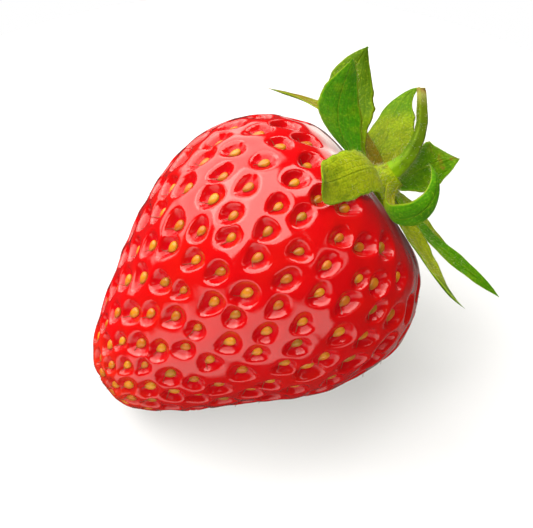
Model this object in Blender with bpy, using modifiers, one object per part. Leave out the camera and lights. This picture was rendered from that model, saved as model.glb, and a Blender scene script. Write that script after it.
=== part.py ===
"""A ripe strawberry lying on its side, with its calyx of ten leaves and its cut stem.

The fruit is turned about its own axis, which leans up towards the calyx at +X.
It rests on a small flat spot at the origin. Sizes here are in millimetres, and
become metres as the meshes are made.
"""

import math
from dataclasses import dataclass

import bmesh
import bpy
from mathutils import Matrix, Vector

MM = 0.001
GAP = 0.3  # left between neighbouring pieces

# The fruit and how it lies.
FRUIT_LENGTH = 42.7
FRUIT_RADIUS = 18.55
LEAN_DEG = 28.0  # of the fruit's axis above the floor, calyx end up
REST_ALONG = 14.86  # the middle of the rest spot, measured along the axis from the tip
REST_RADIUS = 13.8  # the fruit's radius there
FLAT_DEPTH = 0.22  # how far the flesh is pressed in there
FLOOR_CUTTER = 120.0
TURN_STEPS = 48
PROFILE_CUTS = 2  # points added between two stations
# (share of the length from the tip, share of the radius)
FRUIT_PROFILE = (
    (0.000, 0.00),
    (0.006, 0.14),
    (0.030, 0.25),
    (0.100, 0.395),
    (0.195, 0.545),
    (0.290, 0.672),
    (0.385, 0.793),
    (0.480, 0.900),
    (0.580, 0.975),
    (0.675, 1.000),
    (0.770, 0.985),
    (0.865, 0.890),
    (0.930, 0.750),
    (0.968, 0.640),
    (0.990, 0.47),
    (1.000, 0.20),
    (1.000, 0.00),
)

# The fruit isn't quite straight: its middle line bows to one side at both ends.
BOW_DEG = -100.0  # which way, from the crown towards the far side
TIP_BOW = 1.0  # how far, at the tip
TIP_BOW_UNTIL = 0.38  # share of the length where it fades out
TIP_BOW_POWER = 1.5
SHOULDER_BOW = 1.0
SHOULDER_BOW_FROM = 0.65

# The green collar of the calyx, as (height, radius) from its foot.
DISC_STEPS = 32
DISC_PROFILE = (
    (0.0, 0.0),
    (0.0, 2.3),
    (0.25, 2.6),
    (0.9, 2.6),
    (1.6, 2.3),
    (2.3, 1.85),
    (3.0, 1.5),
    (3.0, 0.0),
)

# The leaves of the calyx.
LEAF_RING = 3.2  # where each leaf starts, from the axis
LEAF_THICKNESS = 0.4
LEAF_ROWS = 18
LEAF_COLUMNS = 6
LEAF_TIP_SHARE = 0.03  # of the blade's width, left at the tip

# The stem: (along the axis, towards the far side, towards the crown, radius).
STEM_ROUTE = (
    (3.6, 0.27, 0.23, 1.38),
    (4.6, 0.35, 0.30, 1.16),
    (6.0, 0.5, 0.45, 1.02),
    (8.3, 1.3, 1.1, 0.82),
    (10.0, 2.4, 2.0, 0.74),
    (11.2, 3.6, 3.0, 0.68),
    (12.5, 5.1, 4.3, 0.60),
)
STEM_CUTS = 3  # rings between two points of the route
STEM_BEVEL = 4


@dataclass(frozen=True)
class Leaf:
    """One leaf of the calyx. Angles are in degrees, sizes in millimetres.

    around: where it starts, from the crown towards the far side
    lift, bend, hook: its rise off the shoulder, how that changes, and the tip's curl
    sway: how it veers sideways along its length
    twist, roll: how much its blade turns from base to tip, and its turn at the base
    cup: the curve across the blade
    height: of its base above the end of the fruit
    base, widest, point: the width at the base, where it is widest, and how full the tip is
    """

    name: str
    around: float
    length: float
    width: float
    lift: float
    bend: float
    hook: float
    sway: float
    twist: float
    roll: float
    cup: float
    height: float
    base: float
    widest: float
    point: float


LEAVES = (
    # Two broad leaves stand up side by side over the crown.
    Leaf("sepal_1", 24, 21.0, 5.8, -7, 70, -45, -52, -70, -20, 25, 0.9, 0.22, 0.42, 1.7),
    Leaf("sepal_2", 58, 16.6, 9.0, -6, 91, -15, -16, -60, -22, 30, 0.9, 0.15, 0.45, 1.7),
    # A thin one reaches back over the far shoulder.
    Leaf("sepal_3", 79, 23.0, 4.2, 5, -51, 20, 22, -5, 38, 20, 2.3, 0.22, 0.50, 1.0),
    # One stands behind the stem, and one spreads beside it.
    Leaf("sepal_4", 109, 16.5, 7.5, 40, -14, 85, -4, 10, 77, -15, 1.1, 0.25, 0.40, 1.8),
    Leaf("sepal_5", 150, 13.5, 7.0, 70, -45, 5, 15, 140, -115, 15, 1.4, 0.20, 0.40, 1.5),
    # Three narrow ones hang towards the floor.
    Leaf("sepal_6", 194, 11.5, 3.5, 0, 20, -10, 0, 30, -45, 20, 1.8, 0.45, 0.35, 1.6),
    Leaf("sepal_7", -140, 19.5, 3.0, 0, 24, -15, -21, -25, -15, 25, 1.9, 0.45, 0.45, 2.2),
    Leaf("sepal_8", -118, 17.8, 5.0, -4, 5, 16, 30, 20, -25, 25, 1.0, 0.22, 0.35, 1.2),
    # One curls round on itself, and one lies over the near shoulder.
    Leaf("sepal_9", -77, 16.4, 4.0, -44, 266, -38, -18, 5, 10, 35, 1.2, 0.40, 0.42, 1.5),
    Leaf("sepal_10", -26, 19.0, 6.0, 26, -112, 100, -5, 35, 0, -20, 1.0, 0.30, 0.50, 7.0),
)

# The fruit's own directions: out along its axis, to the far side, and to its crown.
LEAN = math.radians(LEAN_DEG)
OUT = Vector((math.cos(LEAN), 0.0, math.sin(LEAN)))
SIDE = Vector((0.0, 1.0, 0.0))
CROWN = Vector((-math.sin(LEAN), 0.0, math.cos(LEAN)))
TIP = REST_RADIUS * CROWN - REST_ALONG * OUT - Vector((0.0, 0.0, FLAT_DEPTH))
HUB = TIP + FRUIT_LENGTH * OUT


def clear_scene():
    """Removes every object of the startup scene."""
    for obj in list(bpy.data.objects):
        bpy.data.objects.remove(obj)


def new_collection(name):
    """Makes a collection in the scene."""
    made = bpy.data.collections.new(name)
    bpy.context.scene.collection.children.link(made)
    return made


def finish(name, colour, roughness):
    """Makes a Principled material of one colour."""
    material = bpy.data.materials.new(name)
    material.use_nodes = True
    shader = material.node_tree.nodes["Principled BSDF"]
    shader.inputs["Base Color"].default_value = (*colour, 1.0)
    shader.inputs["Roughness"].default_value = roughness
    shader.inputs["Metallic"].default_value = 0.0
    return material


def add_object(name, data, collection, material):
    """Puts a mesh or a curve in a collection as an object with a material."""
    obj = bpy.data.objects.new(name, data)
    collection.objects.link(obj)
    data.materials.append(material)
    return obj


def between(a, b, c, d, t):
    """A smooth curve through a, b, c and d, read a share t of the way from b to c."""
    rise = 2 * t**3 - 3 * t**2 + 1
    leaving = (t**3 - 2 * t**2 + t) * (c - a) / 2
    arriving = (t**3 - t**2) * (d - b) / 2
    return rise * b + leaving + (1 - rise) * c + arriving


def smooth_profile():
    """The fruit's profile in millimetres, as (radius, along the axis), tip first."""
    points = [Vector((r * FRUIT_RADIUS, u * FRUIT_LENGTH)) for u, r in FRUIT_PROFILE]
    # The profile goes on past each end as its own mirror image, so both ends are round.
    mirror = Vector((-1.0, 1.0))
    padded = [points[1] * mirror, *points, points[-2] * mirror]
    smooth = []
    for i in range(1, len(padded) - 2):
        for step in range(PROFILE_CUTS + 1):
            t = step / (PROFILE_CUTS + 1)
            smooth.append(between(*padded[i - 1 : i + 3], t))
    smooth.append(points[-1])
    return [(max(r, 0.0), u) for r, u in smooth]


def add_turned(name, profile, steps, foot, collection, material):
    """Turns a profile of (radius, along the axis) about the fruit's axis, from its foot."""
    mesh = bpy.data.meshes.new(name)
    points = [Vector((r, 0.0, u)) * MM for r, u in profile]
    edges = [(i, i + 1) for i in range(len(points) - 1)]
    mesh.from_pydata(points, edges, [])
    obj = add_object(name, mesh, collection, material)
    obj.location = foot * MM
    obj.rotation_euler = (0.0, math.pi / 2 - LEAN, 0.0)

    turn = obj.modifiers.new("turn", "SCREW")
    turn.axis = "Z"
    turn.steps = steps
    turn.render_steps = steps
    turn.use_merge_vertices = True
    turn.merge_threshold = 0.00001
    turn.use_smooth_shade = True
    turn.use_normal_flip = True
    return obj


def bow_at(share):
    """How far the fruit's middle line is off its axis, at a share of its length."""
    tip = max(1 - share / TIP_BOW_UNTIL, 0.0) ** TIP_BOW_POWER
    shoulder = max((share - SHOULDER_BOW_FROM) / (1 - SHOULDER_BOW_FROM), 0.0)
    return TIP_BOW * tip + SHOULDER_BOW * shoulder


def bow(obj):
    """Applies an object's turn and bows it to one side. Its own -X faces the crown."""
    graph = bpy.context.evaluated_depsgraph_get()
    mesh = bpy.data.meshes.new_from_object(obj.evaluated_get(graph))
    around = math.radians(BOW_DEG)
    heading = Vector((-math.cos(around), math.sin(around), 0.0))
    for vertex in mesh.vertices:
        share = vertex.co.z / (FRUIT_LENGTH * MM)
        vertex.co += heading * bow_at(share) * MM
    obj.modifiers.clear()
    obj.data = mesh


def add_fruit(collection, cutters, material):
    """Turns and bows the fruit, and cuts the flat spot that it rests on."""
    fruit = add_turned("fruit", smooth_profile(), TURN_STEPS, TIP, collection, material)
    bow(fruit)

    block = bmesh.new()
    below = Matrix.Translation((0.0, 0.0, -FLOOR_CUTTER / 2 * MM))
    bmesh.ops.create_cube(block, size=FLOOR_CUTTER * MM, matrix=below)
    mesh = bpy.data.meshes.new("rest_cutter")
    block.to_mesh(mesh)
    block.free()
    cutter = add_object("rest_cutter", mesh, cutters, material)
    cutter.hide_render = True
    cutter.display_type = "WIRE"

    cut = fruit.modifiers.new("rest", "BOOLEAN")
    cut.operation = "DIFFERENCE"
    cut.solver = "EXACT"
    cut.object = cutter


def add_disc(collection, material):
    """Turns the green collar that the leaves and the stem grow from."""
    profile = [(r, h) for h, r in DISC_PROFILE]
    foot = HUB + GAP * OUT
    add_turned("calyx_disc", profile, DISC_STEPS, foot, collection, material)


def add_stem(collection, material):
    """The cut stem: a bent, tapered curve with a flared foot."""
    curve = bpy.data.curves.new("stem", "CURVE")
    curve.dimensions = "3D"
    curve.resolution_u = STEM_CUTS
    curve.bevel_depth = MM
    curve.bevel_resolution = STEM_BEVEL
    curve.use_fill_caps = True
    spline = curve.splines.new("BEZIER")
    spline.bezier_points.add(len(STEM_ROUTE) - 1)
    for point, (along, far, crown, radius) in zip(spline.bezier_points, STEM_ROUTE):
        point.co = (HUB + along * OUT + far * SIDE + crown * CROWN) * MM
        point.handle_left_type = "AUTO"
        point.handle_right_type = "AUTO"
        point.radius = radius
    add_object("stem", curve, collection, material)


def width_share(leaf, s):
    """The blade's width at a share of its length, as a share of its greatest width."""
    rise = leaf.base + (1 - leaf.base) * math.sin(min(s / leaf.widest, 1.0) * math.pi / 2)
    fall = 1 - max((s - leaf.widest) / (1 - leaf.widest), 0.0) ** leaf.point
    return max(rise * fall, LEAF_TIP_SHARE)


def leaf_frames(leaf):
    """For each row of the blade: its centre, its normal and its sideways direction."""
    around = math.radians(leaf.around)
    outward = CROWN * math.cos(around) + SIDE * math.sin(around)
    along_ring = SIDE * math.cos(around) - CROWN * math.sin(around)
    centre = HUB + outward * LEAF_RING + OUT * leaf.height
    frames = []
    before = None
    for i in range(LEAF_ROWS + 1):
        s = i / LEAF_ROWS
        curl = max(2 * s - 1, 0.0) ** 2
        pitch = math.radians(leaf.lift + leaf.bend * s + leaf.hook * curl)
        yaw = math.radians(leaf.sway * s)
        head = outward * math.cos(yaw) + along_ring * math.sin(yaw)
        tangent = head * math.cos(pitch) + OUT * math.sin(pitch)
        normal = OUT * math.cos(pitch) - head * math.sin(pitch)
        sideways = normal.cross(tangent)
        if before is not None:
            centre = centre + (tangent + before) * (leaf.length / LEAF_ROWS / 2)
        before = tangent
        roll = math.radians(leaf.roll + leaf.twist * s)
        turned = normal * math.cos(roll) + sideways * math.sin(roll)
        across = sideways * math.cos(roll) - normal * math.sin(roll)
        frames.append((centre, turned, across))
    return frames


def add_leaf(leaf, collection, material):
    """Bends a flat grid into a cupped blade and gives it its thickness."""
    frames = leaf_frames(leaf)
    cup = math.radians(leaf.cup)
    blade = bmesh.new()
    bmesh.ops.create_grid(blade, x_segments=LEAF_COLUMNS, y_segments=LEAF_ROWS, size=1.0)
    for vertex in blade.verts:
        v = vertex.co.x
        s = (vertex.co.y + 1) / 2
        centre, normal, across = frames[round(s * LEAF_ROWS)]
        half = leaf.width / 2 * width_share(leaf, s)
        sideways = across * (half * math.sin(cup * v) / cup)
        rise = normal * (half * (1 - math.cos(cup * v)) / cup)
        vertex.co = (centre + sideways + rise) * MM
    mesh = bpy.data.meshes.new(leaf.name)
    blade.to_mesh(mesh)
    blade.free()
    mesh.shade_smooth()
    obj = add_object(leaf.name, mesh, collection, material)
    shell = obj.modifiers.new("thickness", "SOLIDIFY")
    shell.thickness = LEAF_THICKNESS * MM
    shell.offset = 0.0


def main():
    """Builds the strawberry."""
    clear_scene()
    strawberry = new_collection("strawberry")
    cutters = new_collection("cutters")
    cutters.hide_render = True
    add_fruit(strawberry, cutters, finish("flesh", (0.62, 0.012, 0.012), 0.22))
    add_disc(strawberry, finish("calyx", (0.30, 0.42, 0.06), 0.6))
    add_stem(strawberry, finish("stem", (0.24, 0.40, 0.03), 0.55))
    for leaf in LEAVES:
        add_leaf(leaf, strawberry, finish(leaf.name, (0.10, 0.30, 0.015), 0.5))


main()
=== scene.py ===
"""A ripe strawberry lying on its side: pitted glossy flesh, achenes, calyx and cut stem.

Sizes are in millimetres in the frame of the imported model, and become metres as each
mesh is made. The fruit's own directions are "out" along its axis towards the calyx,
"side" towards the far side, and "crown" towards the top.
"""

import logging
import math
from dataclasses import dataclass, field
from enum import Enum

import bpy
import numpy as np
from mathutils import Matrix, Vector


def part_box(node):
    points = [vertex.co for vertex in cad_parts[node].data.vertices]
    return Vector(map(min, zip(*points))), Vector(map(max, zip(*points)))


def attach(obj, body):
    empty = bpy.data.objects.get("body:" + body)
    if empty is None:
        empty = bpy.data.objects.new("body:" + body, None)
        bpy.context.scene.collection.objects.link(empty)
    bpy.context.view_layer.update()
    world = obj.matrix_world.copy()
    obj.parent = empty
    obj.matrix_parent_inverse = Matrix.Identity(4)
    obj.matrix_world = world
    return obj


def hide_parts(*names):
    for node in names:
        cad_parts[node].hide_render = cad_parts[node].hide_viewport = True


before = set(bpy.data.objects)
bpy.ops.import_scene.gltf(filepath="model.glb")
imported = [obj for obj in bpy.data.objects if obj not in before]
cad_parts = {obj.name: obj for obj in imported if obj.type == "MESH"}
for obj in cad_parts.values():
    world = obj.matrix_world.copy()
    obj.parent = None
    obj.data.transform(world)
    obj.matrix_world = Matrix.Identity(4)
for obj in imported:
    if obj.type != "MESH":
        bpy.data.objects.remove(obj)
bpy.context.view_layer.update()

LOG = logging.getLogger("strawberry")
MM = 0.001
GOLDEN_ANGLE = math.pi * (3.0 - math.sqrt(5.0))
Array = np.ndarray
Colour = tuple[float, float, float]


class Slot(Enum):
    """The record's material slots."""

    FLESH = "flesh"
    CALYX = "calyx"
    STEM = "stem"
    LEAF = "leaf"


def smoothstep(low: float, high: float, value: Array) -> Array:
    """A smooth rise from 0 at low to 1 at high.

    Args:
        low: Where the rise starts.
        high: Where it ends, which may be the lower of the two.
        value: The values to read it at.

    Returns:
        An array of shares from 0 to 1.
    """
    t = np.clip((value - low) / (high - low), 0.0, 1.0)
    return t * t * (3.0 - 2.0 * t)


def unit(vectors: Array) -> Array:
    """The vectors at length 1."""
    return vectors / np.maximum(np.linalg.norm(vectors, axis=-1, keepdims=True), 1e-12)


def smooth_through(points: Array, steps: int) -> Array:
    """A smooth curve through a few points.

    Args:
        points: One row for each point, of any number of columns.
        steps: Points made for each span.

    Returns:
        The points of the curve, both ends included.
    """
    padded = np.vstack([2 * points[0] - points[1], points, 2 * points[-1] - points[-2]])
    t = np.linspace(0.0, 1.0, steps, endpoint=False)[:, None]
    rise = 2 * t**3 - 3 * t**2 + 1
    leave = (t**3 - 2 * t**2 + t) / 2
    arrive = (t**3 - t**2) / 2
    spans = []
    for a, b, c, d in zip(padded, padded[1:], padded[2:], padded[3:]):
        spans.append(rise * b + leave * (c - a) + (1 - rise) * c + arrive * (d - b))
    return np.vstack([*spans, points[-1:]])


@dataclass(frozen=True)
class Waves:
    """A smooth unevenness made of a few plane waves."""

    seed: int
    wavelength: float
    count: int = 9

    def at(self, points: Array) -> Array:
        """Reads the unevenness.

        Args:
            points: Where to read it, in millimetres.

        Returns:
            A value for each point, mostly between -1 and 1.
        """
        draw = np.random.default_rng(self.seed)
        total = np.zeros(len(points))
        for _ in range(self.count):
            heading = unit(draw.normal(size=3))
            length = self.wavelength * draw.uniform(0.7, 1.5)
            total += np.sin(points @ heading * (2 * math.pi / length) + draw.uniform(0, 6.3))
        return total / math.sqrt(self.count)


# --------------------------------------------------------------------------- meshes


@dataclass
class Shell:
    """A mesh in the making: its points in millimetres, its faces and its attributes."""

    points: Array
    faces: list[Array] = field(default_factory=list)
    traits: dict[str, Array] = field(default_factory=dict)

    def build(self, name: str, material: bpy.types.Material) -> bpy.types.Object:
        """Makes the object.

        Args:
            name: The piece's name.
            material: Its finish.

        Returns:
            The new object, linked to the scene.
        """
        mesh = bpy.data.meshes.new(name)
        sizes = np.concatenate([np.full(len(f), f.shape[1]) for f in self.faces])
        corners = np.concatenate([f.ravel() for f in self.faces]).astype(np.int32)
        mesh.vertices.add(len(self.points))
        mesh.vertices.foreach_set("co", (self.points * MM).astype(np.float32).ravel())
        mesh.loops.add(len(corners))
        mesh.loops.foreach_set("vertex_index", corners)
        mesh.polygons.add(len(sizes))
        starts = np.concatenate([[0], np.cumsum(sizes)[:-1]]).astype(np.int32)
        mesh.polygons.foreach_set("loop_start", starts)
        mesh.update(calc_edges=True)
        mesh.validate()
        for trait, values in self.traits.items():
            made = mesh.attributes.new(trait, "FLOAT", "POINT")
            made.data.foreach_set("value", values.astype(np.float32))
        mesh.shade_smooth()
        mesh.materials.append(material)
        obj = bpy.data.objects.new(name, mesh)
        bpy.context.scene.collection.objects.link(obj)
        return obj


def join(shells: list[Shell]) -> Shell:
    """Puts several shells together.

    Args:
        shells: The shells, all with the same attributes.

    Returns:
        One shell.
    """
    offset = 0
    faces = []
    for shell in shells:
        faces += [f + offset for f in shell.faces]
        offset += len(shell.points)
    names = shells[0].traits
    return Shell(
        np.vstack([s.points for s in shells]),
        faces,
        {n: np.concatenate([s.traits[n] for s in shells]) for n in names},
    )


def loft_faces(rings: int, around: int) -> list[Array]:
    """The faces of a closed tube of rings, capped at both ends.

    Args:
        rings: How many rings there are.
        around: How many points each ring has.

    Returns:
        The side quads and the two end caps, as fans of triangles.
    """
    i, j = np.meshgrid(np.arange(rings - 1), np.arange(around), indexing="ij")
    a = (i * around + j).ravel()
    b = (i * around + (j + 1) % around).ravel()
    quads = np.stack([a, b, b + around, a + around], axis=1)
    fan = np.arange(1, around - 1)
    foot = np.stack([np.zeros_like(fan), fan + 1, fan], axis=1)
    last = (rings - 1) * around
    top = np.stack([np.full_like(fan, last), fan + last, fan + 1 + last], axis=1)
    return [quads, foot, top]


def tube(centres: Array, radii: Array, around: int, traits: dict[str, Array]) -> Shell:
    """A round tube along a curve.

    Args:
        centres: The curve's points.
        radii: The tube's radius at each.
        around: Points in each ring.
        traits: Attributes with one value for each point of the curve.

    Returns:
        The tube, capped at both ends.
    """
    along = unit(np.gradient(centres, axis=0))
    first = np.cross(along[0], [0.31, 0.77, 0.55])
    rights = [unit(first)]
    for heading in along[1:]:
        rights.append(unit(rights[-1] - heading * (rights[-1] @ heading)))
    rights = np.array(rights)
    ups = np.cross(along, rights)
    angles = np.linspace(0.0, 2 * math.pi, around, endpoint=False)
    ring = rights[:, None] * np.cos(angles)[:, None] + ups[:, None] * np.sin(angles)[:, None]
    points = centres[:, None] + ring * radii[:, None, None]
    spread = {name: np.repeat(values, around) for name, values in traits.items()}
    return Shell(points.reshape(-1, 3), loft_faces(len(centres), around), spread)


# ------------------------------------------------------------------------- finishes


class Graph:
    """A node tree, with short calls for the nodes that the finishes use."""

    def __init__(self, tree: bpy.types.NodeTree) -> None:
        """Keeps the tree that the calls add to."""
        self.tree = tree

    def node(self, kind: str, **settings: object) -> bpy.types.Node:
        """Adds a node and sets its properties.

        Args:
            kind: The node's type.
            settings: Its properties and their values.

        Returns:
            The node.
        """
        made = self.tree.nodes.new(kind)
        for name, value in settings.items():
            setattr(made, name, value)
        return made

    def feed(self, socket: bpy.types.NodeSocket, value: object) -> None:
        """Links a socket, or sets it to a plain value.

        Args:
            socket: The socket that is fed.
            value: Another node's socket, or a number or colour.
        """
        if isinstance(value, bpy.types.NodeSocket):
            self.tree.links.new(value, socket)
        elif isinstance(value, tuple) and len(value) == 3 and socket.type == "RGBA":
            socket.default_value = (*value, 1.0)
        else:
            socket.default_value = value

    def trait(self, name: str) -> bpy.types.NodeSocket:
        """Reads one of the mesh's attributes."""
        return self.node("ShaderNodeAttribute", attribute_name=name).outputs["Fac"]

    def place(self, stretch: tuple[float, float, float] = (1, 1, 1)) -> bpy.types.NodeSocket:
        """The place on the piece in millimetres.

        Args:
            stretch: How much it is squeezed along each axis.

        Returns:
            The place.
        """
        where = self.node("ShaderNodeTexCoord").outputs["Object"]
        scale = self.node("ShaderNodeMapping")
        self.feed(scale.inputs["Vector"], where)
        scale.inputs["Scale"].default_value = [s / MM for s in stretch]
        return scale.outputs["Vector"]

    def noise(
        self,
        grain: float,
        detail: float = 2.0,
        stretch: tuple[float, float, float] = (1, 1, 1),
    ) -> bpy.types.NodeSocket:
        """A cloudy noise.

        Args:
            grain: The size of its blotches in millimetres.
            detail: How many finer layers it has.
            stretch: How much it is squeezed along each axis.

        Returns:
            A value around a half.
        """
        made = self.node("ShaderNodeTexNoise")
        self.feed(made.inputs["Vector"], self.place(stretch))
        made.inputs["Scale"].default_value = 1.0 / grain
        made.inputs["Detail"].default_value = detail
        return made.outputs["Fac"]

    def maths(self, operation: str, *values: object, clamp: bool = False) -> bpy.types.NodeSocket:
        """One sum on sockets or numbers.

        Args:
            operation: Blender's name for the sum.
            values: What it takes, in order.
            clamp: Whether to hold the result between 0 and 1.

        Returns:
            The result.
        """
        made = self.node("ShaderNodeMath", operation=operation, use_clamp=clamp)
        for socket, value in zip(made.inputs, values):
            self.feed(socket, value)
        return made.outputs[0]

    def remap(
        self, value: object, low: float, high: float, to_low: float = 0.0, to_high: float = 1.0
    ) -> bpy.types.NodeSocket:
        """A smooth change from one range to another, held at both ends.

        Args:
            value: The value to read it at.
            low: Where the change starts.
            high: Where it ends, which may be the lower of the two.
            to_low: The result before it.
            to_high: The result after it.

        Returns:
            The changed value.
        """
        made = self.node("ShaderNodeMapRange", interpolation_type="SMOOTHSTEP")
        for socket, given in zip(made.inputs, (value, low, high, to_low, to_high)):
            self.feed(socket, given)
        return made.outputs["Result"]

    def ramp(self, value: object, *stops: tuple[float, Colour]) -> bpy.types.NodeSocket:
        """A colour that changes with a value.

        Args:
            value: The value to read the colours at.
            stops: Each value and the colour there.

        Returns:
            The colour.
        """
        made = self.node("ShaderNodeValToRGB")
        self.feed(made.inputs["Fac"], value)
        elements = made.color_ramp.elements
        while len(elements) < len(stops):
            elements.new(1.0)
        for element, (at, colour) in zip(elements, stops):
            element.position = at
            element.color = (*colour, 1.0)
        return made.outputs["Color"]

    def mix(self, factor: object, first: object, second: object) -> bpy.types.NodeSocket:
        """A mixture of two colours.

        Args:
            factor: How much of the second there is.
            first: The first colour.
            second: The second colour.

        Returns:
            The mixture.
        """
        made = self.node("ShaderNodeMix", data_type="RGBA")
        self.feed(made.inputs["Factor"], factor)
        colours = [s for s in made.inputs if s.type == "RGBA"]
        self.feed(colours[0], first)
        self.feed(colours[1], second)
        return next(s for s in made.outputs if s.type == "RGBA")

    def lay(
        self,
        base: object,
        colour: object,
        value: object,
        low: float,
        high: float,
        most: float = 1.0,
    ) -> bpy.types.NodeSocket:
        """Lays a colour over another as a value rises.

        Args:
            base: The colour below.
            colour: The colour laid over it.
            value: What says where.
            low: The value at which it begins.
            high: The value from which it is full.
            most: How strong it is there.

        Returns:
            The mixture.
        """
        return self.mix(self.remap(value, low, high, 0.0, most), base, colour)

    def bump(
        self, height: bpy.types.NodeSocket, depth: float, below: object = None
    ) -> bpy.types.NodeSocket:
        """Small relief.

        Args:
            height: The height, from 0 to 1.
            depth: What a height of 1 stands for, in millimetres.
            below: Another relief that this one lies on.

        Returns:
            The bent normal.
        """
        made = self.node("ShaderNodeBump")
        made.inputs["Strength"].default_value = 1.0
        made.inputs["Distance"].default_value = depth * MM
        self.feed(made.inputs["Height"], height)
        if below is not None:
            self.feed(made.inputs["Normal"], below)
        return made.outputs["Normal"]


@dataclass(frozen=True)
class Finish:
    """What every finish has: its name and the shader's own settings."""

    name: str
    gloss: dict[str, float] = field(default_factory=dict)

    def paint(self, graph: Graph, shader: bpy.types.Node) -> None:
        """Adds the nodes for colour and relief.

        Args:
            graph: The material's nodes.
            shader: Its shader.
        """
        raise NotImplementedError

    def build(self) -> bpy.types.Material:
        """Makes the material."""
        material = bpy.data.materials.new(self.name)
        material.use_nodes = True
        shader = material.node_tree.nodes["Principled BSDF"]
        for socket, value in self.gloss.items():
            shader.inputs[socket].default_value = value
        self.paint(Graph(material.node_tree), shader)
        return material


@dataclass(frozen=True)
class FleshFinish(Finish):
    """Ripe skin: wet-looking crimson over flesh that lets the light in."""

    name: str = "ripe_flesh"
    gloss: dict[str, float] = field(
        default_factory=lambda: {
            "Roughness": 0.12,
            "IOR": 1.33,
            "Subsurface Weight": 0.22,
            "Subsurface Scale": 0.0024,
            "Coat Roughness": 0.04,
            "Coat IOR": 1.5,
        }
    )
    tip: Colour = (0.72, 0.09, 0.020)
    blush: Colour = (0.72, 0.035, 0.010)
    body: Colour = (0.64, 0.0010, 0.003)
    bright: Colour = (0.63, 0.006, 0.002)
    # Orange by the calyx, laid on the upper side only and made lighter there: partly the paler
    # flesh by the calyx, partly painted light.
    shoulder: Colour = (0.74, 0.050, 0.006)
    # Painted shade: the dark maroon laid on the lower side of the fruit by the calyx.
    neck: Colour = (0.32, 0.001, 0.002)
    pit: Colour = (0.68, 0.0, 0.010)
    # Where the colours change, as shares of the way from the tip to the calyx.
    blush_at: float = 0.05
    body_from: float = 0.16
    neck_zone: tuple[float, float] = (0.76, 0.91)
    shoulder_zone: tuple[float, float] = (0.84, 0.94)

    def paint(self, graph: Graph, shader: bpy.types.Node) -> None:
        """Adds the nodes for colour and relief.

        Args:
            graph: The material's nodes.
            shader: Its shader.
        """
        station, pit = graph.trait("station"), graph.trait("pit")
        stops = (0.0, self.tip), (self.blush_at, self.blush), (self.body_from, self.body)
        base = graph.ramp(station, *stops)
        base = graph.lay(base, self.bright, graph.noise(9.0), 0.42, 0.72, 0.7)
        base = graph.lay(base, self.pit, pit, 0.2, 1.0, 0.8)
        # Near the calyx the lower side is painted dark maroon, which is painted shade, and its
        # skin is duller there.
        neck = graph.remap(station, *self.neck_zone)
        neck = graph.maths("MULTIPLY", neck, graph.trait("lower"))
        # On the upper side by the calyx a lighter orange is laid: partly the flesh's own paler
        # colour, partly painted light where the light falls.
        upper = graph.remap(station, *self.shoulder_zone)
        upper = graph.maths("SUBTRACT", upper, neck, clamp=True)
        base = graph.mix(upper, base, self.shoulder)
        base = graph.mix(neck, base, self.neck)
        graph.feed(shader.inputs["Base Color"], base)
        # The open skin is glossier than the pits.
        dull = graph.maths("MULTIPLY_ADD", neck, 0.22, graph.remap(pit, 0.1, 0.6, 0.12, 0.20))
        graph.feed(shader.inputs["Roughness"], dull)
        wet = graph.maths("MULTIPLY_ADD", neck, -0.8, graph.remap(pit, 0.15, 0.5, 0.95, 0.1))
        graph.feed(shader.inputs["Coat Weight"], graph.maths("MAXIMUM", wet, 0.0))
        shader.inputs["Subsurface Radius"].default_value = (1.0, 0.22, 0.12)
        fine = graph.bump(graph.noise(0.30), 0.010)
        streaks = graph.bump(graph.noise(0.45, stretch=(0.25, 1.0, 0.6)), 0.014, fine)
        graph.feed(shader.inputs["Normal"], graph.bump(graph.noise(1.8), 0.05, streaks))


@dataclass(frozen=True)
class AcheneFinish(Finish):
    """The seeds: glossy, golden to olive, darker at the pointed end."""

    name: str = "achene_gold"
    gloss: dict[str, float] = field(
        default_factory=lambda: {
            "Roughness": 0.28,
            "Subsurface Weight": 0.15,
            "Subsurface Scale": 0.0006,
            "Coat Weight": 0.08,
            "Coat Roughness": 0.12,
        }
    )
    straw: Colour = (0.76, 0.30, 0.006)
    gold: Colour = (0.70, 0.235, 0.003)
    amber: Colour = (0.58, 0.15, 0.003)
    olive: Colour = (0.44, 0.19, 0.005)
    point: Colour = (0.28, 0.075, 0.004)

    def paint(self, graph: Graph, shader: bpy.types.Node) -> None:
        """Adds the nodes for colour and relief.

        Args:
            graph: The material's nodes.
            shader: Its shader.
        """
        stops = (0.0, self.olive), (0.30, self.amber), (0.62, self.gold), (1.0, self.straw)
        base = graph.ramp(graph.trait("tone"), *stops)
        base = graph.lay(base, self.point, graph.trait("point"), 0.45, 1.0, 0.75)
        base = graph.lay(base, self.amber, graph.noise(0.22), 0.5, 0.75, 0.35)
        graph.feed(shader.inputs["Base Color"], base)
        graph.feed(shader.inputs["Normal"], graph.bump(graph.noise(0.16), 0.03))


@dataclass(frozen=True)
class StyleFinish(Finish):
    """The dried threads at the achenes: brown, paler at their foot."""

    name: str = "dry_style"
    gloss: dict[str, float] = field(default_factory=lambda: {"Roughness": 0.5})
    foot: Colour = (0.32, 0.10, 0.02)
    end: Colour = (0.07, 0.022, 0.010)
    rust: Colour = (0.20, 0.05, 0.01)

    def paint(self, graph: Graph, shader: bpy.types.Node) -> None:
        """Adds the nodes for colour and relief.

        Args:
            graph: The material's nodes.
            shader: Its shader.
        """
        base = graph.ramp(graph.trait("along"), (0.0, self.foot), (1.0, self.end))
        base = graph.lay(base, self.rust, graph.noise(0.4), 0.4, 0.7, 0.5)
        graph.feed(shader.inputs["Base Color"], base)


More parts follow.
